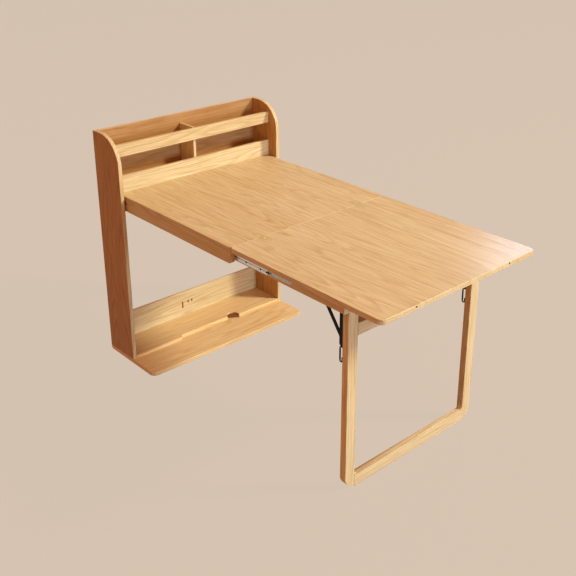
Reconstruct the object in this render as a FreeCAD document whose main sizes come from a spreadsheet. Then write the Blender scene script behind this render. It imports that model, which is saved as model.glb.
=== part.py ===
import FreeCAD, Part
import math
import os
import Sketcher

# Drop leaf table on a narrow rack cabinet. Millimetres, +Z up, the table runs out towards -Y.
# The origin is on the floor, mid-width, under the front edges of the two side panels.

doc = FreeCAD.newDocument("drop_leaf_table")
sheet = doc.addObject("Spreadsheet::Sheet", "dims")

DIMENSIONS = [
    # Cabinet
    ("cabinet_width", 828), ("rack_rise", 242), ("panel_thick", 18), ("panel_depth", 176),
    ("panel_round", 118), ("edge_round", 2.5), ("round_spare", 0.05), ("base_thick", 17),
    ("base_front", 153), ("base_round", 26),
    ("skirting_round", 14),
    ("step_thick", 15), ("recess_width", 310), ("recess_depth", 16), ("recess_round", 8),
    ("back_thick", 12), ("low_rail_height", 117), ("rail_setback", 52), ("rail_thick", 16),
    ("lower_rail_height", 69), ("lower_rail_lap", 12), ("upper_rail_drop", 43), ("upper_rail_height", 50),
    ("rack_gap", 2),
    ("shelf_thick", 15), ("divider_thick", 12), ("back_skirt", 16),
    ("wall_hole_radius", 2.75), ("wall_hole_spacing", 400), ("wall_hole_rise", 23),
    ("slot_wide", 4), ("slot_tall", 29), ("slot_short", 11), ("slot_sink", 8), ("slot_height", 72),
    ("slot_offset", 43), ("slot_pitch", 20),
    # Table top
    ("table_height", 750), ("leaf_thick", 18), ("leaf_side_gap", 7.5), ("leaf_round", 22),
    ("seam_round", 12), ("leaf_edge", 1.8),
    ("seam_reach", 672), ("seam_gap", 0.4), ("rear_leaf_back", 50), ("front_leaf_length", 720),
    ("hinge_spread", 490), ("hinge_width", 28), ("hinge_reach", 46), ("hinge_thick", 3), ("hinge_play", 0.15),
    ("bumper_spread", 470), ("bumper_radius", 3), ("bumper_depth", 8), ("bumper_drop", 5),
    ("bumper_proud", 0.8),
    # Rear box under the rear leaf, and the pins that it turns on
    ("box_rail_thick", 20), ("box_rail_height", 46), ("box_rail_back", 30), ("box_rail_round", 14),
    ("box_rail_nose", 12),
    ("pivot_back", 14), ("pivot_drop", 28), ("pivot_radius", 5), ("pivot_seat", 12), ("pivot_washer", 9),
    ("turn_play", 0.05), ("washer_play", 0.2),
    # Telescopic slides
    ("slide_gap", 12.5), ("sheet_thick", 1.2), ("slide_height", 27), ("slide_drop", 41.5), ("ball_gap", 3.2),
    ("slide_depth", 9.4), ("slide_play", 0.3), ("slide_lap", 4), ("slide_outer_length", 540),
    ("slide_mid_length", 520), ("slide_mid_setback", 358), ("slide_inner_length", 400),
    ("slide_inner_setback", 246), ("slide_hole_radius", 2.5), ("slide_hole_first", 38),
    ("slide_hole_pitch", 78),
    ("cage_length", 200), ("slide_rib", 5.4), ("slide_rib_sink", 1.2),
    # Sliding support frame
    ("apron_thick", 19.5), ("apron_front", 1205), ("apron_length", 705), ("leaf_play", 0.3),
    ("slat_thick", 12), ("slat_width", 60), ("slat_gap", 15),
    # Leg frame
    ("leg_width", 44), ("leg_thick", 27), ("leg_play", 1), ("leg_pivot_drop", 49), ("leg_pin_radius", 4),
    ("leg_pin_seat", 24), ("leg_pin_sink", 4), ("leg_round", 24), ("leg_rail_thick", 22),
    ("foot_rail_height", 49),
    ("top_rail_height", 44), ("top_rail_drop", 161),
    # Folding brackets
    ("bracket_edge", 1), ("guide_sheet", 1.2), ("guide_flange", 14), ("guide_lap", 16),
    ("guide_length", 210), ("guide_setback", 130), ("strip_width", 19), ("strip_thick", 2.5),
    ("strip_drop", 198), ("strip_length", 128), ("flange_thick", 2.5), ("flange_reach", 15),
    ("flange_round", 11.5),
    ("ear_gap", 13), ("ear_height", 26), ("strut_inset", 10.5),
    ("strut_pin_rise", 20), ("strut_pin_reach", 9.4), ("strut_pin_radius", 3), ("strut_thick", 4.4),
    ("strut_width", 12), ("strut_run", 112.14), ("strut_play", 0.4),
    ("wire_radius", 2.4), ("loop_bend", 5), ("loop_drop", 60), ("loop_reach", 12.6), ("loop_tip", 12),
]
for row, (alias, value) in enumerate(DIMENSIONS, start=1):
    sheet.set("A%d" % row, alias)
    sheet.set("B%d" % row, str(value))
    sheet.setAlias("B%d" % row, alias)
doc.recompute()

sub_parts = []


# Places that several pieces share, written as expressions on the sheet
def d(name):
    return "dims." + name


INNER = "(dims.cabinet_width / 2 - dims.panel_thick)"
STEP_TOP = "(dims.base_thick + dims.step_thick)"
BACK = "(dims.panel_depth - dims.back_thick)"
RACK = "(dims.table_height + dims.rack_gap)"
RAIL_BACK = "(dims.rail_setback + dims.rail_thick)"
CABINET_TOP = "(dims.table_height + dims.rack_rise)"
UPPER_RAIL = "(%s - dims.upper_rail_drop - dims.upper_rail_height)" % CABINET_TOP
LEAF_BASE = "(dims.table_height - dims.leaf_thick)"
BOX_BASE = "(%s - dims.box_rail_height)" % LEAF_BASE
BOX_OUT = "(%s - dims.leaf_side_gap)" % INNER
BOX_IN = "(%s - dims.box_rail_thick)" % BOX_OUT
LEAF_WIDTH = "(2 * %s)" % BOX_OUT
PIVOT_Z = "(dims.table_height - dims.pivot_drop)"
APRON_OUT = "(%s - dims.slide_gap)" % BOX_IN
APRON_IN = "(%s - dims.apron_thick)" % APRON_OUT
APRON_TOP = "(%s - dims.leaf_play)" % LEAF_BASE
LEG_OUT = "(%s - dims.leg_play)" % APRON_IN
LEG_BACK = "(-dims.apron_front + dims.leg_thick)"
LEG_PIVOT_Y = "(-dims.apron_front + dims.leg_thick / 2)"
LEG_PIVOT_Z = "(dims.table_height - dims.leg_pivot_drop)"
STRIP_BASE = "(dims.table_height - dims.strip_drop)"
STRUT_PIN_Y = "(%s + dims.strut_pin_reach)" % LEG_BACK
STRUT_PIN_Z = "(%s + dims.strut_pin_rise)" % STRIP_BASE
GUIDE_FRONT = "(-dims.apron_front + dims.guide_setback)"
GUIDE_UNDER = "(%s - dims.guide_sheet)" % APRON_TOP
STRUT_RISE = "(%s - dims.strut_play - dims.strut_width / 2 - %s)" % (GUIDE_UNDER, STRUT_PIN_Z)
STRUT_LENGTH = "sqrt(dims.strut_run ^ 2 + %s ^ 2)" % STRUT_RISE
STRUT_ANGLE = "atan(%s / dims.strut_run)" % STRUT_RISE
SLIDE_Z = "(dims.table_height - dims.slide_drop)"
HALF = {"left": -1, "right": 1}


def bind(obj, **expressions):
    """Ties properties of an object to expressions; a double underscore stands for a dot."""
    for name, expression in expressions.items():
        obj.setExpression(name.replace("__", "."), expression)


def place(obj, x, y, z):
    bind(obj, Placement__Base__x=x, Placement__Base__y=y, Placement__Base__z=z)


def low_x(side, inner, outer):
    """Least X of a piece between two distances from the middle, on the given side."""
    return inner if HALF[side] > 0 else "-(%s)" % outer


def mid_x(side, distance):
    return "%d * (%s)" % (HALF[side], distance)


def outer_face(side):
    return {"x": "max" if HALF[side] > 0 else "min"}


def new_body(label):
    body = doc.addObject("PartDesign::Body", label)
    body.Label = label
    sub_parts.append(body)
    return body


def block(body, kind, corner, size):
    box = body.newObject("PartDesign::%sBox" % kind, body.Name + "_block")
    bind(box, Length=size[0], Width=size[1], Height=size[2])
    place(box, *corner)
    return box


TURN = {"x": FreeCAD.Rotation(FreeCAD.Vector(0, 1, 0), 90),
        "y": FreeCAD.Rotation(FreeCAD.Vector(1, 0, 0), -90),
        "z": FreeCAD.Rotation()}


def rod(body, kind, axis, start, radius, length):
    """Cylinder from a start point along +X, +Y or +Z."""
    cylinder = body.newObject("PartDesign::%sCylinder" % kind, body.Name + "_rod")
    cylinder.Placement = FreeCAD.Placement(FreeCAD.Vector(), TURN[axis])
    bind(cylinder, Radius=radius, Height=length)
    place(cylinder, *start)
    return cylinder


def board(label, corner, size):
    body = new_body(label)
    block(body, "Additive", corner, size)
    return body


def round_edges(body, radius, along, **sides):
    """Rounds the straight edges that run along an axis and lie on the named sides of the piece."""
    doc.recompute()
    shape = body.Tip.Shape
    bounds = shape.optimalBoundingBox()
    limits = {axis + end: getattr(bounds, axis.upper() + end.capitalize())
              for axis in "xyz" for end in ("min", "max")}
    names = []
    for number, edge in enumerate(shape.Edges, start=1):
        if not isinstance(edge.Curve, Part.Line):
            continue
        middle = edge.CenterOfMass
        direction = edge.tangentAt(edge.FirstParameter)
        if abs(abs(getattr(direction, along)) - 1) > 1e-6:
            continue
        wanted = [abs(getattr(middle, axis) - limits[axis + end]) < 0.02 for axis, end in sides.items()]
        if all(wanted):
            names.append("Edge%d" % number)
    fillet_edges(body, names, radius)


def fillet_edges(body, names, radius):
    solid = body.Tip
    fillet = body.newObject("PartDesign::Fillet", body.Name + "_round")
    fillet.Base = (solid, names)
    bind(fillet, Radius=radius)


def value_of(expression):
    result = sheet.evalExpression(expression.replace("dims.", ""))
    return float(getattr(result, "Value", result))


def sketch_on(body, role):
    sketch = body.newObject("Sketcher::SketchObject", body.Name + "_outline")
    plane = [part for part in body.Origin.OriginFeatures if part.Role == role][0]
    sketch.AttachmentSupport = [(plane, "")]
    sketch.MapMode = "FlatFace"
    return sketch


def section(label, points, start, length):
    """Bar along Y with a closed outline of (x, z) points, each an expression."""
    body = new_body(label)
    sketch = sketch_on(body, "XZ_Plane")
    values = [[value_of(coordinate) for coordinate in point] for point in points]
    count = len(points)
    for index in range(count):
        ends = [FreeCAD.Vector(*values[(index + step) % count], 0) for step in (0, 1)]
        sketch.addGeometry(Part.LineSegment(*ends), False)
    for index in range(count):
        sketch.addConstraint(Sketcher.Constraint("Coincident", index, 2, (index + 1) % count, 1))
    for index, point in enumerate(points):
        for direction, coordinate in zip(("DistanceX", "DistanceY"), range(2)):
            value = values[index][coordinate]
            number = sketch.addConstraint(Sketcher.Constraint(direction, -1, 1, index, 1, value))
            sketch.setExpression("Constraints[%d]" % number, point[coordinate])
    bind(sketch, AttachmentOffset__Base__z="-%s" % start)
    pad = body.newObject("PartDesign::Pad", label + "_pad")
    pad.Profile = sketch
    pad.Reversed = True
    bind(pad, Length=length)
    return body


def round_nose(body, side, end, base, radius):
    """Rounds the lower front corner of a rail, as seen from the side, across its whole thickness."""
    sketch = sketch_on(body, "YZ_Plane")
    y, z, r = (value_of(expression) for expression in (end, base, radius))
    corner, low, high = (FreeCAD.Vector(y + right, z + up, 0) for right, up in ((0, 0), (r, 0), (0, r)))
    circle = Part.Circle(FreeCAD.Vector(y + r, z + r, 0), FreeCAD.Vector(0, 0, 1), r)
    sketch.addGeometry(Part.LineSegment(corner, low), False)
    sketch.addGeometry(Part.LineSegment(high, corner), False)
    sketch.addGeometry(Part.ArcOfCircle(circle, math.pi, 1.5 * math.pi), False)
    for joined in ((0, 2, 2, 2), (2, 1, 1, 1), (1, 2, 0, 1)):
        sketch.addConstraint(Sketcher.Constraint("Coincident", *joined))
    sketch.addConstraint(Sketcher.Constraint("Horizontal", 0))
    sketch.addConstraint(Sketcher.Constraint("Vertical", 1))
    sketch.addConstraint(Sketcher.Constraint("Vertical", 2, 3, 0, 2))
    sizes = [("DistanceX", (-1, 1, 0, 1), y, end), ("DistanceY", (-1, 1, 0, 1), z, base),
             ("DistanceX", (0, 1, 0, 2), r, radius), ("DistanceY", (1, 2, 1, 1), r, radius)]
    for kind, points, value, expression in sizes:
        number = sketch.addConstraint(Sketcher.Constraint(kind, *points, value))
        sketch.setExpression("Constraints[%d]" % number, expression)
    pocket = body.newObject("PartDesign::Pocket", body.Name + "_nose")
    pocket.Profile = sketch
    pocket.Type = "ThroughAll"
    pocket.Reversed = HALF[side] > 0


# Cabinet: two panels on a base board, with the rack between them at the top
def side_panel(side):
    corner = (low_x(side, INNER, "dims.cabinet_width / 2"), "0", d("base_thick"))
    body = board(side + "_side_panel", corner,
                 (d("panel_thick"), d("panel_depth"), "%s - dims.base_thick" % CABINET_TOP))
    round_edges(body, d("panel_round"), "x", y="min", z="max")
    round_edges(body, d("edge_round"), "z", y="min")
    seat = low_x(side, INNER, "%s + dims.pivot_seat" % INNER)
    rod(body, "Subtractive", "x", (seat, d("pivot_back"), PIVOT_Z),
        "dims.pivot_radius + dims.turn_play", d("pivot_seat"))


def base_board():
    body = board("base_board", ("-dims.cabinet_width / 2", "-dims.base_front", "0"),
                 (d("cabinet_width"), "dims.base_front + dims.panel_depth", d("base_thick")))
    round_edges(body, d("base_round"), "z", y="min")
    round_edges(body, d("edge_round"), "x", y="min", z="max")
    round_edges(body, d("skirting_round"), "x", y="max", z="min")


def step_board():
    body = board("step_board", ("-%s" % INNER, "0", d("base_thick")),
                 ("2 * %s" % INNER, BACK, d("step_thick")))
    block(body, "Subtractive", ("-dims.recess_width / 2", "0", d("base_thick")),
          (d("recess_width"), d("recess_depth"), d("step_thick")))
    doc.recompute()
    width = float(sheet.recess_width)
    shape = body.Tip.Shape
    names = ["Edge%d" % number for number, edge in enumerate(shape.Edges, start=1)
             if abs(edge.tangentAt(edge.FirstParameter).z) > 0.99
             and abs(abs(edge.CenterOfMass.x) - width / 2) < 1e-4]
    fillet_edges(body, names, "min(dims.recess_round; dims.recess_depth / 2 - dims.round_spare)")
    round_edges(body, d("edge_round"), "x", y="min", z="max")


def lower_back_rail():
    body = board("lower_back_rail", ("-%s" % INNER, BACK, STEP_TOP),
                 ("2 * %s" % INNER, d("back_thick"), d("low_rail_height")))
    round_edges(body, d("edge_round"), "x", y="min", z="max")
    tall = (d("slot_wide"), d("slot_sink"), d("slot_tall"))
    short = (d("slot_wide"), d("slot_sink"), d("slot_short"))
    short_base = "dims.slot_height + dims.slot_tall - dims.slot_short"
    block(body, "Subtractive", ("-dims.slot_offset", BACK, d("slot_height")), tall)
    block(body, "Subtractive", ("-dims.slot_offset / 2 + dims.slot_pitch / 2", BACK, short_base), short)
    block(body, "Subtractive", ("-dims.slot_offset / 2 + 3 * dims.slot_pitch / 2", BACK, short_base), short)


def rack():
    wide = "2 * %s" % INNER
    left = "-%s" % INNER
    lower = board("lower_front_rail", (left, d("rail_setback"), "dims.table_height - dims.lower_rail_lap"),
                  (wide, d("rail_thick"), "dims.lower_rail_lap + dims.lower_rail_height"))
    upper = board("upper_front_rail", (left, d("rail_setback"), UPPER_RAIL),
                  (wide, d("rail_thick"), d("upper_rail_height")))
    for rail in (lower, upper):
        round_edges(rail, d("edge_round"), "x", z="max")
    round_edges(upper, d("edge_round"), "x", z="min")
    board("rack_shelf", (left, RAIL_BACK, RACK),
          (wide, "%s - %s" % (BACK, RAIL_BACK), d("shelf_thick")))
    shelf_top = "(%s + dims.shelf_thick)" % RACK
    board("rack_divider", ("-dims.divider_thick / 2", RAIL_BACK, shelf_top),
          (d("divider_thick"), "%s - %s" % (BACK, RAIL_BACK),
           "%s + dims.upper_rail_height - %s" % (UPPER_RAIL, shelf_top)))
    back_base = "(%s - dims.back_skirt)" % RACK
    back = board("rack_back_panel", (left, BACK, back_base),
                 (wide, d("back_thick"), "%s - %s" % (CABINET_TOP, back_base)))
    round_edges(back, d("edge_round"), "x", z="max")
    for sign in (-1, 1):
        rod(back, "Subtractive", "y", ("%d * dims.wall_hole_spacing / 2" % sign, BACK,
                                       "%s + dims.wall_hole_rise" % shelf_top),
            d("wall_hole_radius"), d("back_thick"))


# Table top: two leaves that meet at the seam, joined by a pair of flap hinges
def hinge_pocket(body, seam, towards):
    reach = "(dims.hinge_reach - dims.hinge_width / 2)"
    for sign in (-1, 1):
        middle = "(%d * dims.hinge_spread / 2)" % sign
        width = "(dims.hinge_width + 2 * dims.hinge_play)"
        floor = "dims.table_height - dims.hinge_thick"
        start = seam if towards > 0 else "%s - %s" % (seam, reach)
        block(body, "Subtractive", ("%s - %s / 2" % (middle, width), start, floor),
              (width, reach, d("hinge_thick")))
        rod(body, "Subtractive", "z", (middle, "%s + %d * %s" % (seam, towards, reach), floor),
            "%s / 2" % width, d("hinge_thick"))


def hinge_plate(side, leaf, seam, towards):
    reach = "(dims.hinge_reach - dims.hinge_width / 2)"
    middle = "(%s)" % mid_x(side, "dims.hinge_spread / 2")
    floor = "dims.table_height - dims.hinge_thick"
    start = seam if towards > 0 else "%s - %s" % (seam, reach)
    body = board("%s_hinge_%s" % (side, leaf), ("%s - dims.hinge_width / 2" % middle, start, floor),
                 (d("hinge_width"), reach, d("hinge_thick")))
    rod(body, "Additive", "z", (middle, "%s + %d * %s" % (seam, towards, reach), floor),
        "dims.hinge_width / 2", d("hinge_thick"))


def leaves():
    rear_seam = "(-dims.seam_reach)"
    front_seam = "(-dims.seam_reach - dims.seam_gap)"
    rear = board("rear_leaf", ("-%s" % BOX_OUT, rear_seam, LEAF_BASE),
                 (LEAF_WIDTH, "dims.seam_reach + dims.rear_leaf_back", d("leaf_thick")))
    round_edges(rear, d("seam_round"), "z", y="min")
    round_edges(rear, d("leaf_edge"), "x", y="min", z="max")
    front = board("front_leaf", ("-%s" % BOX_OUT, "%s - dims.front_leaf_length" % front_seam, LEAF_BASE),
                  (LEAF_WIDTH, d("front_leaf_length"), d("leaf_thick")))
    round_edges(front, d("leaf_round"), "z", y="min")
    round_edges(front, d("seam_round"), "z", y="max")
    round_edges(front, d("leaf_edge"), "x", y="min", z="max")
    round_edges(front, d("leaf_edge"), "x", y="min", z="min")
    hinge_pocket(rear, rear_seam, 1)
    hinge_pocket(front, front_seam, -1)
    front_end = "(%s - dims.front_leaf_length)" % front_seam
    bumper_z = "dims.table_height - dims.bumper_drop"
    for side in HALF:
        hinge_plate(side, "rear_plate", rear_seam, 1)
        hinge_plate(side, "front_plate", front_seam, -1)
        middle = mid_x(side, "dims.bumper_spread / 2")
        rod(front, "Subtractive", "y", (middle, front_end, bumper_z), d("bumper_radius"), d("bumper_depth"))
        bumper = new_body(side + "_edge_bumper")
        rod(bumper, "Additive", "y", (middle, "%s - dims.bumper_proud" % front_end, bumper_z),
            d("bumper_radius"), "dims.bumper_depth + dims.bumper_proud")


# Rear box: side rails under the rear leaf, turning on pins in the side panels
def box_side(side):
    rail = board(side + "_box_rail", (low_x(side, BOX_IN, BOX_OUT), "-dims.seam_reach", BOX_BASE),
                 (d("box_rail_thick"), "dims.seam_reach + dims.box_rail_back", d("box_rail_height")))
    round_edges(rail, d("box_rail_round"), "x", y="max", z="min")
    round_edges(rail, d("seam_round"), "z", y="min", **outer_face(side))
    round_edges(rail, d("edge_round"), "y", z="min")
    round_nose(rail, side, "-dims.seam_reach", BOX_BASE, d("box_rail_nose"))
    inner_end = low_x(side, BOX_IN, BOX_OUT)
    rod(rail, "Subtractive", "x", (inner_end, d("pivot_back"), PIVOT_Z),
        d("pivot_radius"), d("box_rail_thick"))
    tip = "(%s + dims.pivot_seat - dims.washer_play)" % INNER
    pin = new_body(side + "_pivot_pin")
    rod(pin, "Additive", "x", (low_x(side, BOX_IN, tip), d("pivot_back"), PIVOT_Z),
        d("pivot_radius"), "%s - %s" % (tip, BOX_IN))
    washer_end = "(%s - dims.washer_play)" % INNER
    washer = new_body(side + "_pivot_washer")
    washer_start = low_x(side, BOX_OUT, washer_end)
    rod(washer, "Additive", "x", (washer_start, d("pivot_back"), PIVOT_Z), d("pivot_washer"),
        "%s - %s" % (washer_end, BOX_OUT))
    rod(washer, "Subtractive", "x", (washer_start, d("pivot_back"), PIVOT_Z), d("pivot_radius"),
        "%s - %s" % (washer_end, BOX_OUT))


# Telescopic slides: three nested channels between each box rail and its apron
def channel(label, side, web, towards, depth, height, front, length):
    """C section whose web lies at a distance from the middle and whose flanges point in or out."""
    half = "(%s / 2)" % height
    far = "(%s + %d * %s)" % (web, towards, depth)
    near = "(%s + %d * dims.sheet_thick)" % (web, towards)
    top = "(%s + %s)" % (SLIDE_Z, half)
    base = "(%s - %s)" % (SLIDE_Z, half)
    outline = [(web, base), (far, base), (far, "%s + dims.sheet_thick" % base),
               (near, "%s + dims.sheet_thick" % base), (near, "%s - dims.sheet_thick" % top),
               (far, "%s - dims.sheet_thick" % top), (far, top), (web, top)]
    points = [(mid_x(side, x), z) for x, z in outline]
    return section(label, points, front, length)


def ribbed_channel(label, side, web, depth, height, front, length):
    """C section with its flanges inwards, whose web is sunk between two raised ball tracks."""
    top = "(%s + %s / 2)" % (SLIDE_Z, height)
    base = "(%s - %s / 2)" % (SLIDE_Z, height)
    far = "(%s - %s)" % (web, depth)
    near = "(%s - dims.sheet_thick)" % web
    sunk = "(%s - dims.slide_rib_sink)" % web
    sunk_near = "(%s - dims.sheet_thick)" % sunk
    track = "(dims.slide_rib - dims.sheet_thick)"
    half = [(sunk, d("slide_rib")), (web, d("slide_rib")), (web, "0"), (far, "0"), (far, d("sheet_thick")),
            (near, d("sheet_thick")), (near, track), (sunk_near, track)]
    upper = [(mid_x(side, x), "%s - %s" % (top, inset)) for x, inset in half]
    lower = [(mid_x(side, x), "%s + %s" % (base, inset)) for x, inset in half]
    points = upper + lower[::-1]
    return section(label, points, front, length)


SLIDE_STEP = "(2 * (dims.sheet_thick + dims.ball_gap))"
MID_HEIGHT = "(dims.slide_height - %s)" % SLIDE_STEP
INNER_HEIGHT = "(dims.slide_height - 2 * %s)" % SLIDE_STEP
MID_WEB = "(%s - dims.sheet_thick - dims.slide_play)" % BOX_IN
MID_FRONT = "(-dims.apron_front + dims.slide_mid_setback)"


def slide(side):
    channel(side + "_slide_outer", side, BOX_IN, -1, "dims.slide_depth", d("slide_height"),
            "(-dims.seam_reach + dims.slide_lap)", d("slide_outer_length"))
    middle = ribbed_channel(side + "_slide_middle", side, MID_WEB, "(dims.slide_depth - dims.sheet_thick)",
                            MID_HEIGHT, MID_FRONT, d("slide_mid_length"))
    sunk_near = "%s - dims.slide_rib_sink - dims.sheet_thick" % MID_WEB
    start = low_x(side, sunk_near, "%s - dims.slide_rib_sink" % MID_WEB)
    for step in range(2):
        hole_y = "%s + dims.slide_hole_first + %d * dims.slide_hole_pitch" % (MID_FRONT, step)
        rod(middle, "Subtractive", "x", (start, hole_y, SLIDE_Z), d("slide_hole_radius"), d("sheet_thick"))
    channel(side + "_slide_inner", side, APRON_OUT, 1,
            "(%s - dims.slide_play - %s)" % (sunk_near, APRON_OUT),
            INNER_HEIGHT, "(-dims.apron_front + dims.slide_inner_setback)", d("slide_inner_length"))


def ball_cage(side, name, gap_top, start):
    """Pair of ball strips that fill the gap above and below a channel, with play on one side."""
    body = new_body("%s_%s_cage" % (side, name))
    tall = "(dims.ball_gap - dims.slide_play)"
    deep = "(dims.slide_depth / 2)"
    x = low_x(side, "%s - dims.sheet_thick - %s" % (MID_WEB, deep), "%s - dims.sheet_thick" % MID_WEB)
    for sign in (-1, 1):
        base = "%s + %d * %s" % (SLIDE_Z, sign, gap_top)
        base = base if sign > 0 else "%s - %s" % (base, tall)
        block(body, "Additive", (x, start, base), (deep, d("cage_length"), tall))
    return body


# Support frame: aprons on the slides, tied by slats
def apron(side):
    body = board(side + "_apron", (low_x(side, APRON_IN, APRON_OUT), "-dims.apron_front", BOX_BASE),
                 (d("apron_thick"), d("apron_length"), "%s - %s" % (APRON_TOP, BOX_BASE)))
    round_edges(body, d("edge_round"), "y", z="min")
    pin_end = "(%s - dims.leg_pin_sink)" % APRON_OUT
    pin_tip = "(%s + dims.leg_play - dims.leg_pin_seat)" % LEG_OUT
    rod(body, "Subtractive", "x", (low_x(side, APRON_IN, pin_end), LEG_PIVOT_Y, LEG_PIVOT_Z),
        d("leg_pin_radius"), "dims.apron_thick - dims.leg_pin_sink")
    pin = new_body(side + "_leg_pin")
    rod(pin, "Additive", "x", (low_x(side, pin_tip, pin_end), LEG_PIVOT_Y, LEG_PIVOT_Z),
        d("leg_pin_radius"), "%s - %s" % (pin_end, pin_tip))


def slats():
    places = {"front_cross_slat": "%s + dims.guide_length + dims.slat_gap" % GUIDE_FRONT,
              "rear_cross_slat": "-dims.apron_front + dims.apron_length - dims.slat_width"}
    for label, start in places.items():
        board(label, ("-%s" % APRON_IN, start, "%s - dims.slat_thick" % APRON_TOP),
              ("2 * %s" % APRON_IN, d("slat_width"), d("slat_thick")))


# Leg frame: two legs, a foot rail and a top rail, folding between the aprons
def leg(side):
    inner = "(%s - dims.leg_width)" % LEG_OUT
    body = board(side + "_leg", (low_x(side, inner, LEG_OUT), "-dims.apron_front", "0"),
                 (d("leg_width"), d("leg_thick"), "%s + dims.leg_thick / 2" % LEG_PIVOT_Z))
    round_edges(body, "dims.leg_thick / 2 - dims.round_spare", "x", z="max")
    round_edges(body, d("leg_round"), "y", z="min", **outer_face(side))
    round_edges(body, d("edge_round"), "z")
    seat = "(%s - dims.leg_pin_seat)" % LEG_OUT
    rod(body, "Subtractive", "x", (low_x(side, seat, LEG_OUT), LEG_PIVOT_Y, LEG_PIVOT_Z),
        "dims.leg_pin_radius + dims.turn_play", "dims.leg_pin_seat")


def leg_rails():
    reach = "(%s - dims.leg_width)" % LEG_OUT
    rails = {"leg_foot_rail": ("0", d("foot_rail_height")),
             "leg_top_rail": ("dims.table_height - dims.top_rail_drop", d("top_rail_height"))}
    for label, (base, height) in rails.items():
        rail = board(label, ("-%s" % reach, "-dims.apron_front", base),
                     ("2 * %s" % reach, d("leg_rail_thick"), height))
        round_edges(rail, d("edge_round"), "x")


# Folding brackets: a guide on the apron, a strip with a flange and an ear on the leg, the strut and
# the release loop. The two brackets are alike, not mirrored, so each is at the left edge of its leg.
def bracket_left(side):
    return "(-%s)" % LEG_OUT if side == "left" else "(%s - dims.leg_width)" % LEG_OUT


def bracket_guide(side):
    reach = "(%s - abs(%s + dims.strut_inset) + dims.guide_lap)" % (APRON_IN, bracket_left(side))
    free_edge = "(%s - %s)" % (APRON_IN, reach)
    wall = "(%s - dims.guide_sheet)" % APRON_IN
    lip = "(%s - dims.guide_flange)" % APRON_TOP
    outline = [(APRON_IN, APRON_TOP), (free_edge, APRON_TOP), (free_edge, GUIDE_UNDER), (wall, GUIDE_UNDER),
               (wall, lip), (APRON_IN, lip)]
    points = [(mid_x(side, x), z) for x, z in outline]
    section(side + "_bracket_guide", points, GUIDE_FRONT, d("guide_length"))


def leg_bracket(side):
    start = "(%s + dims.bracket_edge)" % bracket_left(side)
    body = board(side + "_leg_bracket", (start, LEG_BACK, STRIP_BASE),
                 (d("strip_width"), d("strip_thick"), d("strip_length")))
    block(body, "Additive", (start, LEG_BACK, STRIP_BASE),
          (d("flange_thick"), d("flange_reach"), d("strip_length")))
    free_reach = "dims.flange_reach - dims.strip_thick - dims.round_spare"
    round_edges(body, "min(dims.flange_round; %s)" % free_reach, "x", y="max")
    block(body, "Additive", ("%s + dims.ear_gap" % start, LEG_BACK, "%s - dims.ear_height / 2" % STRUT_PIN_Z),
          (d("flange_thick"), d("flange_reach"), d("ear_height")))
    pin_start = (start, STRUT_PIN_Y, STRUT_PIN_Z)
    pin_length = "dims.ear_gap + dims.flange_thick"
    rod(body, "Subtractive", "x", pin_start, d("strut_pin_radius"), pin_length)
    pin = new_body(side + "_strut_pin")
    rod(pin, "Additive", "x", pin_start, d("strut_pin_radius"), pin_length)


def strut(side):
    """Flat bar with round ends, turned about its lower pin to lean back to the guide."""
    body = new_body(side + "_strut")
    half = "(dims.strut_width / 2)"
    thick = d("strut_thick")
    edge = "-dims.strut_thick / 2"
    hole = "dims.strut_pin_radius + dims.turn_play"
    block(body, "Additive", (edge, "0", "-%s" % half), (thick, STRUT_LENGTH, d("strut_width")))
    for centre in ("0", STRUT_LENGTH):
        rod(body, "Additive", "x", (edge, centre, "0"), half, thick)
    for centre in ("0", STRUT_LENGTH):
        rod(body, "Subtractive", "x", (edge, centre, "0"), hole, thick)
    body.Placement = FreeCAD.Placement(FreeCAD.Vector(), FreeCAD.Rotation(FreeCAD.Vector(1, 0, 0), 1))
    bind(body, Placement__Rotation__Angle=STRUT_ANGLE)
    place(body, "%s + dims.strut_inset" % bracket_left(side), STRUT_PIN_Y, STRUT_PIN_Z)


def wire_run(name, axis, start, length):
    straight = doc.addObject("Part::Cylinder", name)
    straight.Placement = FreeCAD.Placement(FreeCAD.Vector(), TURN[axis])
    bind(straight, Radius=d("wire_radius"), Height=length)
    place(straight, *start)
    return straight


def wire_bend(name, centre, first, second, angle):
    """Part of a ring from the first direction towards the second."""
    bend = doc.addObject("Part::Torus", name)
    bend.Angle3 = angle
    bend.Placement = FreeCAD.Placement(FreeCAD.Vector(), FreeCAD.Rotation(first, second, first.cross(second)))
    bind(bend, Radius1=d("loop_bend"), Radius2=d("wire_radius"))
    place(bend, *centre)
    return bend


def release_loop(side):
    """Bent wire under the leg bracket: out from the leg, down, and curled back up in an open finger loop."""
    name = side + "_release_loop"
    back, up = FreeCAD.Vector(0, 1, 0), FreeCAD.Vector(0, 0, 1)
    x = "(%s + dims.bracket_edge + dims.wire_radius)" % bracket_left(side)
    arm_y = "(%s + dims.loop_reach)" % LEG_BACK
    bend_y = "(%s - dims.loop_bend)" % arm_y
    top_z = "(%s - dims.wire_radius)" % STRIP_BASE
    turn_z = "(%s - dims.loop_bend)" % top_z
    curl_z = "(%s - dims.loop_drop + dims.loop_bend + dims.wire_radius)" % STRIP_BASE
    loop = doc.addObject("Part::MultiFuse", name)
    loop.Shapes = [
        wire_run(name + "_root", "y", (x, LEG_BACK, top_z), "%s - %s" % (bend_y, LEG_BACK)),
        wire_bend(name + "_turn", (x, bend_y, turn_z), back, up, 90),
        wire_run(name + "_arm", "z", (x, arm_y, curl_z), "%s - %s" % (turn_z, curl_z)),
        wire_bend(name + "_curl", (x, bend_y, curl_z), -back, -up, 180),
        wire_run(name + "_tip", "z", (x, "%s - dims.loop_bend" % bend_y, curl_z), d("loop_tip")),
    ]
    loop.Label = name
    sub_parts.append(loop)


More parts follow.
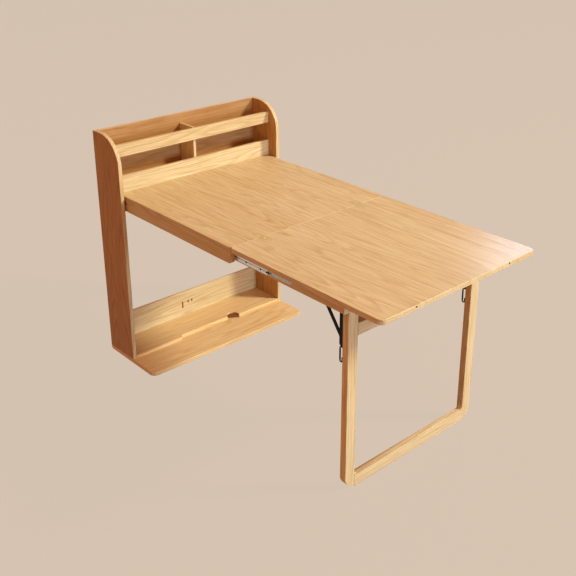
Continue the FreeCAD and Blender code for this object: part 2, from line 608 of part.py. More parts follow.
def build():
    base_board()
    step_board()
    lower_back_rail()
    rack()
    leaves()
    slats()
    leg_rails()
    for side in HALF:
        side_panel(side)
        box_side(side)
        slide(side)
        ball_cage(side, "rear", "(%s / 2)" % MID_HEIGHT,
                  "%s + dims.slide_mid_length - dims.cage_length" % MID_FRONT)
        ball_cage(side, "front", "(%s / 2 + dims.slide_play)" % INNER_HEIGHT, MID_FRONT)
        apron(side)
        leg(side)
        bracket_guide(side)
        leg_bracket(side)
        strut(side)
        release_loop(side)


def check_and_export():
    doc.recompute()
    for obj in doc.Objects:
        bad = [word for word in obj.State if word in ("Invalid", "Error")]
        if bad:
            raise RuntimeError("%s is %s" % (obj.Label, ", ".join(bad)))
    os.makedirs("parts", exist_ok=True)
    for part in sub_parts:
        shape = part.Shape
        if shape.isNull() or not shape.isValid():
            raise RuntimeError("%s has no valid shape" % part.Label)
    for part in sub_parts:
        part.Shape.exportStep(os.path.join("parts", part.Label + ".step"))
        print("%-24s %d solid(s) %.0f mm3" % (part.Label, len(part.Shape.Solids), part.Shape.Volume))


build()
check_and_export()
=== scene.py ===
import math

import bmesh
import bpy
from mathutils import Matrix, Vector


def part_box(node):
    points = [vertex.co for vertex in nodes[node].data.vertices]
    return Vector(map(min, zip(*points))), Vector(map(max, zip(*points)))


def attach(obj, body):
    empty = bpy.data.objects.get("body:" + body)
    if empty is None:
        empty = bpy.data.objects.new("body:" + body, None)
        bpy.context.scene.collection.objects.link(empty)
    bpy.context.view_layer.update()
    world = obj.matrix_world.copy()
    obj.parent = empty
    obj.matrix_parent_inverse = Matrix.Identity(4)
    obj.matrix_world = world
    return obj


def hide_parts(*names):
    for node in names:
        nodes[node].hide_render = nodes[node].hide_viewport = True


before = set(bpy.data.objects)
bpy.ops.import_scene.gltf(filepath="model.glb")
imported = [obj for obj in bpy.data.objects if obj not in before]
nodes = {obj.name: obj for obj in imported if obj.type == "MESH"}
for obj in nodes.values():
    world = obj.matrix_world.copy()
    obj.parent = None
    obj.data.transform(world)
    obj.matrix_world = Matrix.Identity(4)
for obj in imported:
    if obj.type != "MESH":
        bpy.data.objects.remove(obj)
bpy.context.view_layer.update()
MM = 0.001
SIDES = {"left": -1, "right": 1}


# Materials

def colour(code):
    """sRGB hex code to a linear RGBA colour."""
    parts = [int(code[i:i + 2], 16) / 255 for i in (1, 3, 5)]
    linear = [c / 12.92 if c <= 0.04045 else ((c + 0.055) / 1.055) ** 2.4 for c in parts]
    return (*linear, 1.0)


def add(tree, kind, settings=None, **inputs):
    """Adds a node. An input is a plain value or another node's output socket, and the setting "stops"
    gives a colour ramp its (position, hex code) pairs."""
    node = tree.nodes.new("ShaderNode" + kind)
    plain = dict(settings or {})
    stops = plain.pop("stops", [])
    for name, value in plain.items():
        setattr(node, name, value)
    if stops:
        elements = node.color_ramp.elements
        while len(elements) < len(stops):
            elements.new(0.5)
        for element, (position, code) in zip(elements, stops):
            element.position = position
            element.color = colour(code)
    for name, value in inputs.items():
        key = int(name[1:]) if name[0] == "_" else name
        socket = node.inputs[key]
        if isinstance(value, bpy.types.NodeSocket):
            tree.links.new(value, socket)
        else:
            socket.default_value = value
    return node


def new_material(name):
    material = bpy.data.materials.new(name)
    material.use_nodes = True
    tree = material.node_tree
    tree.nodes.clear()
    shader = add(tree, "BsdfPrincipled")
    output = add(tree, "OutputMaterial")
    tree.links.new(shader.outputs[0], output.inputs[0])
    return material, tree, shader


BLEND = {"data_type": "RGBA"}
DARKEN = {"data_type": "RGBA", "blend_type": "MULTIPLY"}
GRAIN_TURN = {"x": (0, 0, 0), "y": (0, 0, math.radians(-90)), "z": (0, math.radians(90), 0)}
RING_FIELD_MM = 125
RING_DRAW = 12
RING_COUNT = 22.0
RING_TONES = [(0.0, "#e7d19c"), (0.5, "#e2c993"), (0.86, "#cba96e"), (1.0, "#e5ce99")]
PATCH_MM, PATCH_LONG_MM = 100, 833.3
PATCH_TONES = [(0.32, "#d9bd85"), (0.68, "#ead6a4")]
STREAK_MM, STREAK_LONG_MM = 3.4, 294.1
STREAK_TONE = "#dfd2ba"
PORE_MM, PORE_LONG_MM = 1.3, 90.9
PORE_TONE = "#cfbb9c"
PORE_DULLING = 0.14
WARM_SHARE = 0.32


def oiled_oak(name, grain, shift, lustre=0.2, even=0.5, rough=0.36, face_darkening=None, broad=0, warm=None):
    """Planed and oiled oak: long, quiet cathedral figure from the growth rings, thin darker streaks and
    short pores along the grain, boards of slightly unlike tone, and a satin surface that is a little
    duller in the pores. A darker tone, where given, darkens the broad faces, whose normal is along axis
    broad, and leaves the lipped edges pale; on the rack back this is painted shade. A warm tint, where
    given, blends a redder tone into the wood."""
    material, tree, shader = new_material(name)
    coordinates = add(tree, "TexCoord").outputs
    turned = add(tree, "Mapping", Vector=coordinates["Object"], Rotation=GRAIN_TURN[grain],
                 Location=shift).outputs[0]
    # Growth rings: contour lines of a slow field, drawn out along the grain
    across = 1 / (RING_FIELD_MM * MM)
    drawn = add(tree, "Mapping", Vector=turned, Scale=(across / RING_DRAW, across, across)).outputs[0]
    field = add(tree, "TexNoise", Vector=drawn, Scale=1.0, Detail=2.0, Roughness=0.4).outputs[0]
    rings = add(tree, "Math", {"operation": "MULTIPLY"}, _0=field, _1=RING_COUNT).outputs[0]
    ring = add(tree, "Math", {"operation": "FRACT"}, _0=rings).outputs[0]
    figure = add(tree, "ValToRGB", {"stops": RING_TONES}, Fac=ring).outputs[0]
    # Slow change of tone, from board to board and along each board
    across = 1 / (PATCH_MM * MM)
    slow = add(tree, "Mapping", Vector=turned, Scale=(1 / (PATCH_LONG_MM * MM), across, across)).outputs[0]
    patch = add(tree, "TexNoise", Vector=slow, Scale=1.0, Detail=3.0).outputs[0]
    tone = add(tree, "ValToRGB", {"stops": PATCH_TONES}, Fac=patch).outputs[0]
    wood = add(tree, "Mix", BLEND, Factor=even, _6=figure, _7=tone).outputs[2]
    # Thin streaks along the grain
    across = 1 / (STREAK_MM * MM)
    lines = add(tree, "Mapping", Vector=turned, Scale=(1 / (STREAK_LONG_MM * MM), across, across)).outputs[0]
    streak = add(tree, "TexNoise", Vector=lines, Scale=1.0, Detail=3.0, Roughness=0.65).outputs[0]
    streaked = add(tree, "MapRange", Value=streak, _1=0.42, _2=0.75, _3=0.0, _4=0.8).outputs[0]
    lined = add(tree, "Mix", DARKEN, Factor=streaked, _6=wood, _7=colour(STREAK_TONE)).outputs[2]
    # Pores, 0.3 mm wide on oak, are drawn wider so that they show
    across = 1 / (PORE_MM * MM)
    dashes = add(tree, "Mapping", Vector=turned, Scale=(1 / (PORE_LONG_MM * MM), across, across)).outputs[0]
    pore = add(tree, "TexNoise", Vector=dashes, Scale=1.0, Detail=2.0, Roughness=0.6).outputs[0]
    pored = add(tree, "MapRange", Value=pore, _1=0.5, _2=0.72, _3=0.0, _4=0.75).outputs[0]
    oak = add(tree, "Mix", DARKEN, Factor=pored, _6=lined, _7=colour(PORE_TONE)).outputs[2]
    if face_darkening:
        facing = add(tree, "SeparateXYZ", Vector=coordinates["Normal"]).outputs[broad]
        flat = add(tree, "Math", {"operation": "ABSOLUTE"}, _0=facing).outputs[0]
        oak = add(tree, "Mix", DARKEN, Factor=flat, _6=oak, _7=colour(face_darkening)).outputs[2]
    if warm:
        oak = add(tree, "Mix", BLEND, Factor=WARM_SHARE, _6=oak, _7=colour(warm)).outputs[2]
    tree.links.new(oak, shader.inputs["Base Color"])
    gloss = add(tree, "MapRange", Value=pore, _1=0.3, _2=0.8, _3=rough, _4=rough + PORE_DULLING).outputs[0]
    tree.links.new(gloss, shader.inputs["Roughness"])
    bump = add(tree, "Bump", Strength=0.1, Distance=0.5 * MM, Height=pore).outputs[0]
    tree.links.new(bump, shader.inputs["Normal"])
    shader.inputs["IOR"].default_value = 1.5
    shader.inputs["Specular IOR Level"].default_value = lustre
    return material


ROLLED_LINE_MM, ROLLED_LINE_LONG_MM = 1.111, 83.3
ZINC_TONES = [(0.3, "#d6d4d0"), (0.7, "#f4f2ee")]


def zinc_steel():
    """Rolled steel strip with bright zinc: fine lines along the strip, soft reflections. The lines are
    drawn about a millimetre wide so that they show."""
    material, tree, shader = new_material("zinc_plated_strip")
    place = add(tree, "TexCoord").outputs["Object"]
    across = 1 / (ROLLED_LINE_MM * MM)
    drawn = add(tree, "Mapping", Vector=place,
                Scale=(across, 1 / (ROLLED_LINE_LONG_MM * MM), across)).outputs[0]
    line = add(tree, "TexNoise", Vector=drawn, Scale=1.0, Detail=2.0).outputs[0]
    bright = add(tree, "ValToRGB", {"stops": ZINC_TONES}, Fac=line).outputs[0]
    tree.links.new(bright, shader.inputs["Base Color"])
    rough = add(tree, "MapRange", Value=line, _1=0.3, _2=0.7, _3=0.28, _4=0.42).outputs[0]
    tree.links.new(rough, shader.inputs["Roughness"])
    shader.inputs["Metallic"].default_value = 1.0
    return material


GRIT_DULLING = 0.06


def fine_grit(name, low, high, rough, metallic, grit_mm, lustre=0.5):
    """Fine even grain, as on powder coat, moulded nylon, rubber or satin brass."""
    material, tree, shader = new_material(name)
    place = add(tree, "TexCoord").outputs["Object"]
    grit = add(tree, "TexNoise", Vector=place, Scale=1.0 / (grit_mm * MM), Detail=2.0).outputs[0]
    tint = add(tree, "ValToRGB", {"stops": [(0.3, low), (0.7, high)]}, Fac=grit).outputs[0]
    tree.links.new(tint, shader.inputs["Base Color"])
    vary = add(tree, "MapRange", Value=grit, _1=0.3, _2=0.7, _3=rough - GRIT_DULLING,
               _4=rough + GRIT_DULLING).outputs[0]
    tree.links.new(vary, shader.inputs["Roughness"])
    bump = add(tree, "Bump", Strength=0.1, Distance=0.3 * MM, Height=grit).outputs[0]
    tree.links.new(bump, shader.inputs["Normal"])
    shader.inputs["Metallic"].default_value = metallic
    shader.inputs["Specular IOR Level"].default_value = lustre
    return material


# Oak boards by the way their grain runs, each cut from another place in the wood
oak_depth = oiled_oak("oiled_oak_front_to_back", "y", (0.0, 0.0, 0.0))
oak_leaf = oiled_oak("oiled_oak_front_leaf", "y", (0.37, 1.3, 0.2), lustre=0.3, rough=0.26)
oak_width = oiled_oak("oiled_oak_side_to_side", "x", (0.15, 0.7, 0.4))
oak_base = oiled_oak("oiled_oak_base", "x", (0.15, 0.7, 0.4), even=0.2, warm="#ffcc80")
oak_upright = oiled_oak("oiled_oak_upright", "z", (0.6, 0.25, 0.9))
oak_panel = oiled_oak("oiled_oak_side_panel", "z", (0.2, 0.85, 0.5), lustre=0.1, even=0.25, face_darkening="#dbbda3")
# The rack back's broad faces are darkened: painted shade of the back panel behind the rails and side panels
oak_back = oiled_oak("oiled_oak_rack_back", "x", (0.8, 0.1, 0.3), lustre=0.1, face_darkening="#d6b79c", broad=1)
steel = zinc_steel()
# Baked powder coat: near black, dull, with a slight orange peel
black_coat = fine_grit("black_powder_coat", "#0b0706", "#17100d", 0.6, 0.0, 1.2, lustre=0.15)
# Brushed and lacquered brass: warm, soft highlights
satin_brass = fine_grit("satin_brass", "#f0cd8a", "#ffe0a2", 0.34, 1.0, 0.8)
# Moulded rubber: dark and matt
dark_rubber = fine_grit("dark_rubber", "#2a2320", "#3a312c", 0.7, 0.0, 0.9)
# Moulded nylon: a faint sheen over a fine grain, in three colours; the third, a warm dark brown, is painted
# shade in the finger scoop and the cable slots
black_nylon = fine_grit("black_nylon", "#0f0e0d", "#1b1918", 0.5, 0.0, 0.7, lustre=0.2)
brown_nylon = fine_grit("brown_nylon", "#4a3122", "#5d3f2d", 0.5, 0.0, 0.7, lustre=0.1)
painted_shade_brown = fine_grit("painted_shade_brown", "#7e4820", "#905628", 0.6, 0.0, 0.7, lustre=0.1)

# The first row with a word that is in the node's name gives its finish
FINISHES = [
    (("bracket", "strut", "release_loop"), black_coat),
    (("slide", "pin"), steel),
    (("washer",), brown_nylon),
    (("cage",), black_nylon),
    (("hinge",), satin_brass),
    (("bumper",), dark_rubber),
    (("side_panel",), oak_panel),
    (("rack_back",), oak_back),
    (("base_board", "step_board"), oak_base),
    (("left_leg", "right_leg", "divider"), oak_upright),
    (("front_leaf",), oak_leaf),
    (("rear_leaf", "apron", "box_rail"), oak_depth),
    (("board", "rail", "rack", "slat"), oak_width),
]

for name, node in nodes.items():
    finish = next(material for words, material in FINISHES if any(word in name for word in words))
    node.data.materials.clear()
    node.data.materials.append(finish)


# Fasteners and stops

def join(mesh, part):
    """Adds a finished shape to a piece's mesh."""
    data = bpy.data.meshes.new("part")
    part.to_mesh(data)
    part.free()
    mesh.from_mesh(data)
    bpy.data.meshes.remove(data)


def piece(name, mesh, material, body):
    data = bpy.data.meshes.new(name)
    mesh.to_mesh(data)
    mesh.free()
    data.materials.append(material)
    made = bpy.data.objects.new(name, data)
    bpy.context.scene.collection.objects.link(made)
    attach(made, body)


def placed(place, facing):
    """Takes a shape that stands on the origin along z to a place, turned to face a direction."""
    turned = Vector((0, 0, 1)).rotation_difference(Vector(facing)).to_matrix().to_4x4()
    return Matrix.Translation(place) @ turned


# Shares of a screw head's radius and height
HEAD_TAPER = 0.88
HEAD_RIM = 0.3
CROSS_BORDER = 0.18
CROSS_HALF_WIDTH = 0.15
CROSS_REACH = 0.75
CROSS_DEPTH = 0.6


def screw_head(mesh, place, facing, radius, height):
    """Low round head with a rounded rim and a cross recess, its flat underside at place."""
    head = bmesh.new()
    bmesh.ops.create_cone(head, cap_ends=True, segments=24, radius1=radius, radius2=HEAD_TAPER * radius,
                          depth=height, matrix=Matrix.Translation((0, 0, height / 2)))
    rim = [edge for edge in head.edges if all(corner.co.z > 0.9 * height for corner in edge.verts)]
    bmesh.ops.bevel(head, geom=rim, offset=HEAD_RIM * height, affect="EDGES", segments=2, profile=0.5,
                    material=-1)
    crown = max(head.faces, key=lambda face: face.calc_center_median().z)
    bmesh.ops.inset_region(head, faces=[crown], thickness=CROSS_BORDER * radius)
    half = CROSS_HALF_WIDTH * radius
    reach = CROSS_REACH * radius

    def inner():
        return [face for face in head.faces if face.calc_center_median().z > 0.99 * height
                and max(corner.co.xy.length for corner in face.verts) < reach]

    for across in (Vector((1, 0, 0)), Vector((0, 1, 0))):
        for shift in (-half, half):
            flat = inner()
            edges = {edge for face in flat for edge in face.edges}
            corners = {corner for face in flat for corner in face.verts}
            bmesh.ops.bisect_plane(head, geom=[*flat, *edges, *corners], plane_co=shift * across,
                                   plane_no=across)
    middles = [(face, face.calc_center_median()) for face in inner()]
    cross = [face for face, middle in middles if min(abs(middle.x), abs(middle.y)) < half]
    sunk = bmesh.ops.extrude_face_region(head, geom=cross)["geom"]
    low = [corner for corner in sunk if isinstance(corner, bmesh.types.BMVert)]
    bmesh.ops.translate(head, verts=low, vec=(0, 0, -CROSS_DEPTH * height))
    bmesh.ops.delete(head, geom=cross, context="FACES")
    bmesh.ops.transform(head, matrix=placed(place, facing), verts=head.verts)
    join(mesh, head)


def soft_block(mesh, low, high, edge):
    """Moulded or bent block with rounded edges, from its two corners."""
    block = bmesh.new()
    bmesh.ops.create_cube(block, size=1.0)
    middle = (Vector(low) + Vector(high)) / 2
    bmesh.ops.scale(block, vec=Vector(high) - Vector(low), verts=block.verts)
    bmesh.ops.translate(block, vec=middle, verts=block.verts)
    bmesh.ops.bevel(block, geom=block.edges[:], offset=edge, affect="EDGES", segments=2, profile=0.5,
                    material=-1)
    join(mesh, block)


def plug(mesh, place, facing, radius, height, edge):
    """Push-in button or sleeve with a rounded rim at its far end."""
    button = bmesh.new()
    bmesh.ops.create_cone(button, cap_ends=True, segments=24, radius1=radius, radius2=radius, depth=height,
                          matrix=Matrix.Translation((0, 0, height / 2)))
    rim = [line for line in button.edges if all(corner.co.z > 0.9 * height for corner in line.verts)]
    bmesh.ops.bevel(button, geom=rim, offset=edge, affect="EDGES", segments=3, profile=0.5, material=-1)
    bmesh.ops.transform(button, matrix=placed(place, facing), verts=button.verts)
    join(mesh, button)


UP = (0, 0, 1)
HINGE_SCREW_SHARES = (0.28, 0.68)
HINGE_SCREW_RADIUS, HINGE_SCREW_PROUD = 3.4 * MM, 0.4 * MM
WEB_SINK = 1.2 * MM
STRIP_THICK, STRIP_LOW, STRIP_HIGH = 0.4 * MM, 0.9 * MM, 3.3 * MM
STRIP_FRONT, STRIP_REAR = 6 * MM, 20 * MM
STOP_SINK, STOP_LONG, STOP_HALF_HEIGHT = 0.1 * MM, 9 * MM, 3.5 * MM
PLUG_REACHES_MM = (38, 116)
PLUG_RADIUS, PLUG_HEIGHT, PLUG_RIM = 3.5 * MM, 1.1 * MM, 0.5 * MM
SLIDE_SCREW_REACHES_MM = (16, 64, 384)
SLIDE_SCREW_RADIUS, SLIDE_SCREW_HEIGHT = 3 * MM, 1.6 * MM
BRACKET_SCREW_DROPS_MM = (12, 40, 68)
BRACKET_SCREW_INSET, BRACKET_STRIP = 14.5 * MM, 2.5 * MM
BRACKET_SCREW_RADIUS, BRACKET_SCREW_HEIGHT = 3.2 * MM, 1.5 * MM
GRIP_RADIUS, GRIP_LONG, GRIP_RIM = 2.9 * MM, 40 * MM, 1.2 * MM
GRIP_RISE, WIRE_INSET = 10 * MM, 2.4 * MM

for side, sign in SIDES.items():
    for plate, body in (("rear", "box"), ("front", "flap")):
        low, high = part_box("%s_hinge_%s_plate" % (side, plate))
        screws = bmesh.new()
        for share in HINGE_SCREW_SHARES:
            inward = share * (high.y - low.y)
            along = high.y - inward if plate == "rear" else low.y + inward
            screw_head(screws, ((low.x + high.x) / 2, along, high.z), UP, HINGE_SCREW_RADIUS,
                       HINGE_SCREW_PROUD)
        piece("%s_hinge_%s_screws" % (side, plate), screws, satin_brass, body)

    # Dark strip in the sunk web of the middle slide, painted shade of its groove, with an end stop and plugs
    low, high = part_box(side + "_slide_middle")
    outside = low.x if sign < 0 else high.x
    web = outside - sign * WEB_SINK
    strip = web + sign * STRIP_THICK
    stop = outside - sign * STOP_SINK
    centre = (low.z + high.z) / 2
    stops = bmesh.new()
    soft_block(stops, (min(web, strip), low.y + STRIP_FRONT, centre + STRIP_LOW),
               (max(web, strip), high.y - STRIP_REAR, centre + STRIP_HIGH), 0.15 * MM)
    soft_block(stops, (min(web, stop), low.y, centre - STOP_HALF_HEIGHT),
               (max(web, stop), low.y + STOP_LONG, centre + STOP_HALF_HEIGHT), 0.3 * MM)
    for reach in PLUG_REACHES_MM:
        plug(stops, (web, low.y + reach * MM, centre), (sign, 0, 0), PLUG_RADIUS, PLUG_HEIGHT, PLUG_RIM)
    piece(side + "_slide_stops_and_groove_shade", stops, black_nylon, side + "_slide_mid")

    low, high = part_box(side + "_slide_inner")
    web = (high.x if sign < 0 else low.x) + sign * WEB_SINK
    centre = (low.z + high.z) / 2
    screws = bmesh.new()
    for reach in SLIDE_SCREW_REACHES_MM:
        screw_head(screws, (web, low.y + reach * MM, centre), (sign, 0, 0), SLIDE_SCREW_RADIUS,
                   SLIDE_SCREW_HEIGHT)
    piece(side + "_slide_screws", screws, steel, "frame")

    # Wood screws through the bracket strip into the leg, clear of the strut beside them
    low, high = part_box(side + "_leg_bracket")
    screws = bmesh.new()
    for drop in BRACKET_SCREW_DROPS_MM:
        place = (low.x + BRACKET_SCREW_INSET, low.y + BRACKET_STRIP, high.z - drop * MM)
        screw_head(screws, place, (0, 1, 0), BRACKET_SCREW_RADIUS, BRACKET_SCREW_HEIGHT)
    piece(side + "_bracket_screws", screws, black_coat, "legs")

    # Moulded grip on the straight run of the release wire
    low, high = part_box(side + "_release_loop")
    grip = bmesh.new()
    foot = ((low.x + high.x) / 2, high.y - WIRE_INSET, low.z + GRIP_RISE)
    plug(grip, foot, UP, GRIP_RADIUS, GRIP_LONG, GRIP_RIM)
    piece(side + "_loop_grip", grip, black_nylon, "legs")


# Boards that are cut further than their solids

WELD = 0.001 * MM
SLIVER = 0.01 * MM
SHARP_ANGLE = math.radians(30)


def carve(name, node, cutter, material, body):
    """The node's own shape with one more cut, as a new piece in its place."""
    board = bmesh.new()
    board.from_mesh(nodes[node].data)
    bmesh.ops.remove_doubles(board, verts=board.verts, dist=WELD)
    board_data = bpy.data.meshes.new(name)
    board.to_mesh(board_data)
    board.free()
    tool_data = bpy.data.meshes.new("cutter")
    cutter.to_mesh(tool_data)
    cutter.free()
    tool = bpy.data.objects.new("cutter", tool_data)
    made = bpy.data.objects.new(name, board_data)
    for item in (tool, made):
        bpy.context.scene.collection.objects.link(item)
    cut = made.modifiers.new("cut", "BOOLEAN")
    cut.operation = "DIFFERENCE"
    cut.solver = "EXACT"
    cut.object = tool
    graph = bpy.context.evaluated_depsgraph_get()
    carved = bpy.data.meshes.new_from_object(made.evaluated_get(graph))
    made.modifiers.clear()
    made.data = carved
    bpy.data.objects.remove(tool)
    cleaned = bmesh.new()
    cleaned.from_mesh(carved)
    bmesh.ops.dissolve_degenerate(cleaned, edges=cleaned.edges, dist=SLIVER)
    cleaned.to_mesh(carved)
    cleaned.free()
    carved.materials.clear()
    carved.materials.append(material)
    carved.shade_smooth()
    carved.set_sharp_from_angle(angle=SHARP_ANGLE)
    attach(made, body)
    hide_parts(node)


def corner_prism(mesh, corner, sign, near, far, base, radius, spare):
    """Prism between a square corner, at x = corner and z = base, and the quarter round inside it. It goes
    past the corner by spare."""
    prism = bmesh.new()
    inner = corner - sign * radius
    start = prism.verts.new((corner, near, base + radius))
    bmesh.ops.spin(prism, geom=[start], cent=(inner, near, base + radius), axis=(0, sign, 0),
                   angle=math.radians(90), steps=16)
    past = corner + sign * spare
    for x, z in ((inner, base - spare), (past, base - spare), (past, base + radius)):
        prism.verts.new((x, near, z))
    prism.verts.ensure_lookup_table()
    face = prism.faces.new(prism.verts)
    swept = bmesh.ops.extrude_face_region(prism, geom=[face])["geom"]
    moved = [vertex for vertex in swept if isinstance(vertex, bmesh.types.BMVert)]
    bmesh.ops.translate(prism, verts=moved, vec=(0, far - near, 0))
    bmesh.ops.recalc_face_normals(prism, faces=prism.faces)
    join(mesh, prism)


# Leg frame with concentric rounds at its lower corners, outside and inside
LEG_ROUND_OUTSIDE, LEG_ROUND_INSIDE = 57 * MM, 13 * MM
CUT_SPARE = 2 * MM
FILLET_SETBACK, FILLET_SPARE = 0.6 * MM, 0.5 * MM
rail_low, rail_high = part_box("leg_foot_rail")
rail_cutter = bmesh.new()
fillets = bmesh.new()
for side, sign in SIDES.items():
    low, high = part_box(side + "_leg")
    outside, inside = (low.x, high.x) if sign < 0 else (high.x, low.x)
    leg_cutter = bmesh.new()
    for mesh in (leg_cutter, rail_cutter):
        corner_prism(mesh, outside, sign, low.y - CUT_SPARE, high.y + CUT_SPARE, low.z, LEG_ROUND_OUTSIDE,
                     CUT_SPARE)
    carve(side + "_leg_round_foot", side + "_leg", leg_cutter, oak_upright, "legs")
    corner_prism(fillets, inside, sign, rail_low.y + FILLET_SETBACK, rail_high.y - FILLET_SETBACK,
                 rail_high.z, LEG_ROUND_INSIDE, FILLET_SPARE)
carve("foot_rail_round_ends", "leg_foot_rail", rail_cutter, oak_width, "legs")
piece("leg_corner_fillets", fillets, oak_upright, "legs")

# Finger scoop at the right end of the step's recess, with a dark brown block in it that is cut off at the
# front: painted shade of the hollow
SCOOP_X, SCOOP_Y, SCOOP_RADIUS = 133 * MM, 13 * MM, 29 * MM
SCOOP_CUT_DEPTH = 30 * MM
SCOOP_SHADE_PLAY, SCOOP_SHADE_HEIGHT, SCOOP_SHADE_RIM = 0.2 * MM, 9 * MM, 0.8 * MM
SCOOP_SHADE_FRONT = (-0.51, -0.86, 0)
low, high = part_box("step_board")
scoop = bmesh.new()
bmesh.ops.create_cone(scoop, cap_ends=True, segments=48, radius1=SCOOP_RADIUS, radius2=SCOOP_RADIUS,
                      depth=SCOOP_CUT_DEPTH,
                      matrix=Matrix.Translation((SCOOP_X, SCOOP_Y, (low.z + high.z) / 2)))
carve("step_board_scooped", "step_board", scoop, oak_base, "cabinet")
scoop_shade = bmesh.new()
plug(scoop_shade, (SCOOP_X, SCOOP_Y, low.z), UP, SCOOP_RADIUS - SCOOP_SHADE_PLAY, SCOOP_SHADE_HEIGHT, SCOOP_SHADE_RIM)
bmesh.ops.bisect_plane(scoop_shade, geom=[*scoop_shade.verts, *scoop_shade.edges, *scoop_shade.faces],
                       plane_co=(SCOOP_X, SCOOP_Y, 0), plane_no=SCOOP_SHADE_FRONT, clear_outer=True)
bmesh.ops.holes_fill(scoop_shade, edges=[edge for edge in scoop_shade.edges if edge.is_boundary])
piece("finger_scoop_painted_shade", scoop_shade, painted_shade_brown, "cabinet")

# Dark brown blocks in the cable slots of the lower back rail, painted shade of the slots: middle, base and
# top of each in millimetres
SLOT_SHADES_MM = ((-41, 70.5, 102.5), (-9.5, 89, 102), (10.5, 89, 102))
SLOT_SHADE_HALF_MM = 3.6
SLOT_SHADE_PROUD, SLOT_SHADE_SINK, SLOT_SHADE_RIM = 0.4 * MM, 2 * MM, 0.3 * MM
low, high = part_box("lower_back_rail")
slot_shades = bmesh.new()
for x, base, top in SLOT_SHADES_MM:
    soft_block(slot_shades, ((x - SLOT_SHADE_HALF_MM) * MM, low.y - SLOT_SHADE_PROUD, base * MM),
               ((x + SLOT_SHADE_HALF_MM) * MM, low.y + SLOT_SHADE_SINK, top * MM), SLOT_SHADE_RIM)
piece("cable_slot_painted_shade", slot_shades, painted_shade_brown, "cabinet")

# Cover caps over the two wall screws, at the back of the rack
CAP_X, CAP_Z = 200 * MM, 790 * MM
CAP_RADIUS, CAP_HEIGHT, CAP_RIM = 6 * MM, 1.6 * MM, 0.7 * MM
low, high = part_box("rack_back_panel")
caps = bmesh.new()
for sign in SIDES.values():
    plug(caps, (sign * CAP_X, low.y, CAP_Z), (0, -1, 0), CAP_RADIUS, CAP_HEIGHT, CAP_RIM)
piece("wall_screw_caps", caps, oak_back, "cabinet")

# Cleat behind the top rail of the leg frame
CLEAT_HEIGHT, CLEAT_DEPTH, CLEAT_RIM = 25 * MM, 20 * MM, 1.5 * MM
low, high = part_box("leg_top_rail")
cleat = bmesh.new()
soft_block(cleat, (low.x, high.y, high.z - CLEAT_HEIGHT), (high.x, high.y + CLEAT_DEPTH, high.z), CLEAT_RIM)
piece("leg_rail_cleat", cleat, oak_width, "legs")


# Stage, light and camera

BACKDROP = "#d6c5b3"
PAPER, PAPER_GLOW, PAPER_GLOW_SHARE = "#8a5c38", "#decdbb", 0.88
FLOOR_HALF, FLOOR_DROP = 14.0, 0.5 * MM


def seen_directly(tree):
    """1 for what the camera, a reflection or a clear piece looks at, and 0 for the light that falls."""
    path = add(tree, "LightPath").outputs
    mirrored = add(tree, "Math", {"operation": "MAXIMUM"}, _0=path["Is Camera Ray"],
                   _1=path["Is Glossy Ray"]).outputs[0]
    return add(tree, "Math", {"operation": "MAXIMUM"}, _0=mirrored,
               _1=path["Is Transmission Ray"]).outputs[0]


def backdrop_material():
    """Plain paper floor: an even pale tone to the camera and in reflections, which keeps the shadow."""
    material, tree, shader = new_material("paper_backdrop")
    shader.inputs["Base Color"].default_value = colour(PAPER)
    shader.inputs["Roughness"].default_value = 0.95
    shader.inputs["Specular IOR Level"].default_value = 0.0
    glow = add(tree, "Emission", Color=colour(PAPER_GLOW), Strength=1.0).outputs[0]
    mixed = add(tree, "MixShader", _0=PAPER_GLOW_SHARE, _1=shader.outputs[0], _2=glow).outputs[0]
    final = add(tree, "MixShader", _0=seen_directly(tree), _1=shader.outputs[0], _2=mixed).outputs[0]
    output = next(node for node in tree.nodes if node.type == "OUTPUT_MATERIAL")
    tree.links.new(final, output.inputs[0])
    return material


floor_mesh = bmesh.new()
bmesh.ops.create_grid(floor_mesh, x_segments=1, y_segments=1, size=FLOOR_HALF)
floor_data = bpy.data.meshes.new("floor")
floor_mesh.to_mesh(floor_data)
floor_mesh.free()
floor = bpy.data.objects.new("floor", floor_data)
floor.data.materials.append(backdrop_material())
bpy.context.scene.collection.objects.link(floor)
floor.location.z = -FLOOR_DROP

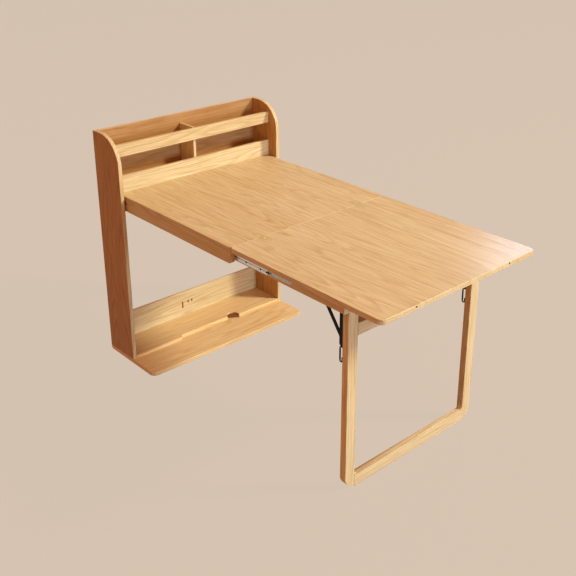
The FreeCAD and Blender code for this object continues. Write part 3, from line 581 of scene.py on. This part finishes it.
# Each lamp's place and aim, its width in metres, its power in watts and its tint
TABLE_MIDDLE = (0, -0.5, 0.5)
LEAF_CORNER = (0.38, -1.39, 0.75)
LAMPS = {
    "key": ((6.83, -7.1, 7.15), TABLE_MIDDLE, 2.0, 1222, "#fbfffa"),
    "front": ((0.8, -11.0, 1.8), TABLE_MIDDLE, 2.6, 615, "#c0dcff"),
    "left_fill": ((-6.0, -1.6, 0.9), TABLE_MIDDLE, 2.4, 34, "#ffd5b3"),
    "corner_sheen": ((3.5, 0.56, 2.31), LEAF_CORNER, 0.7, 19, "#cfe2ff"),
}
for name, (place, aim, size, power, tint) in LAMPS.items():
    lamp = bpy.data.lights.new(name, "AREA")
    lamp.shape = "DISK"
    lamp.size = size
    lamp.energy = power
    lamp.color = colour(tint)[:3]
    lamp_object = bpy.data.objects.new(name, lamp)
    bpy.context.scene.collection.objects.link(lamp_object)
    lamp_object.location = place
    lamp_object.rotation_euler = (Vector(aim) - Vector(place)).to_track_quat("-Z", "Y").to_euler()

world = bpy.data.worlds.new("studio")
bpy.context.scene.world = world
world.use_nodes = True
world_tree = world.node_tree
world_tree.nodes.clear()
soft = add(world_tree, "Background", Color=colour("#ffb592"), Strength=0.53)
shown = add(world_tree, "Background", Color=colour(BACKDROP), Strength=1.0)
choose = add(world_tree, "MixShader", _0=seen_directly(world_tree), _1=soft.outputs[0], _2=shown.outputs[0])
world_out = add(world_tree, "OutputWorld")
world_tree.links.new(choose.outputs[0], world_out.inputs[0])

CAMERA_PLACE = Vector((-2.10375, -2.94697, 1.99703))
CAMERA_AZIMUTH, CAMERA_ELEVATION, CAMERA_ROLL = (math.radians(a) for a in (-42.65, 21.96, 0.26))
FOCAL_PIXELS, IMAGE_SIZE = 893.97, 576
CENTRE_PIXEL = (310.85, 220.24)

camera = bpy.data.cameras.new("camera")
camera.sensor_width = 36
camera.lens = FOCAL_PIXELS / IMAGE_SIZE * camera.sensor_width
camera.shift_x = (IMAGE_SIZE / 2 - CENTRE_PIXEL[0]) / IMAGE_SIZE
camera.shift_y = (CENTRE_PIXEL[1] - IMAGE_SIZE / 2) / IMAGE_SIZE
camera_object = bpy.data.objects.new("camera", camera)
bpy.context.scene.collection.objects.link(camera_object)
level = math.cos(CAMERA_ELEVATION)
back = Vector((math.sin(CAMERA_AZIMUTH) * level, -math.cos(CAMERA_AZIMUTH) * level,
               math.sin(CAMERA_ELEVATION)))
right = Vector((0, 0, 1)).cross(back).normalized()
up = back.cross(right)
turn = Matrix.Rotation(CAMERA_ROLL, 3, back)
axes = Matrix((turn @ right, turn @ up, back)).transposed()
camera_object.matrix_world = Matrix.Translation(CAMERA_PLACE) @ axes.to_4x4()
bpy.context.scene.camera = camera_object
bpy.context.scene.view_settings.view_transform = "Standard"
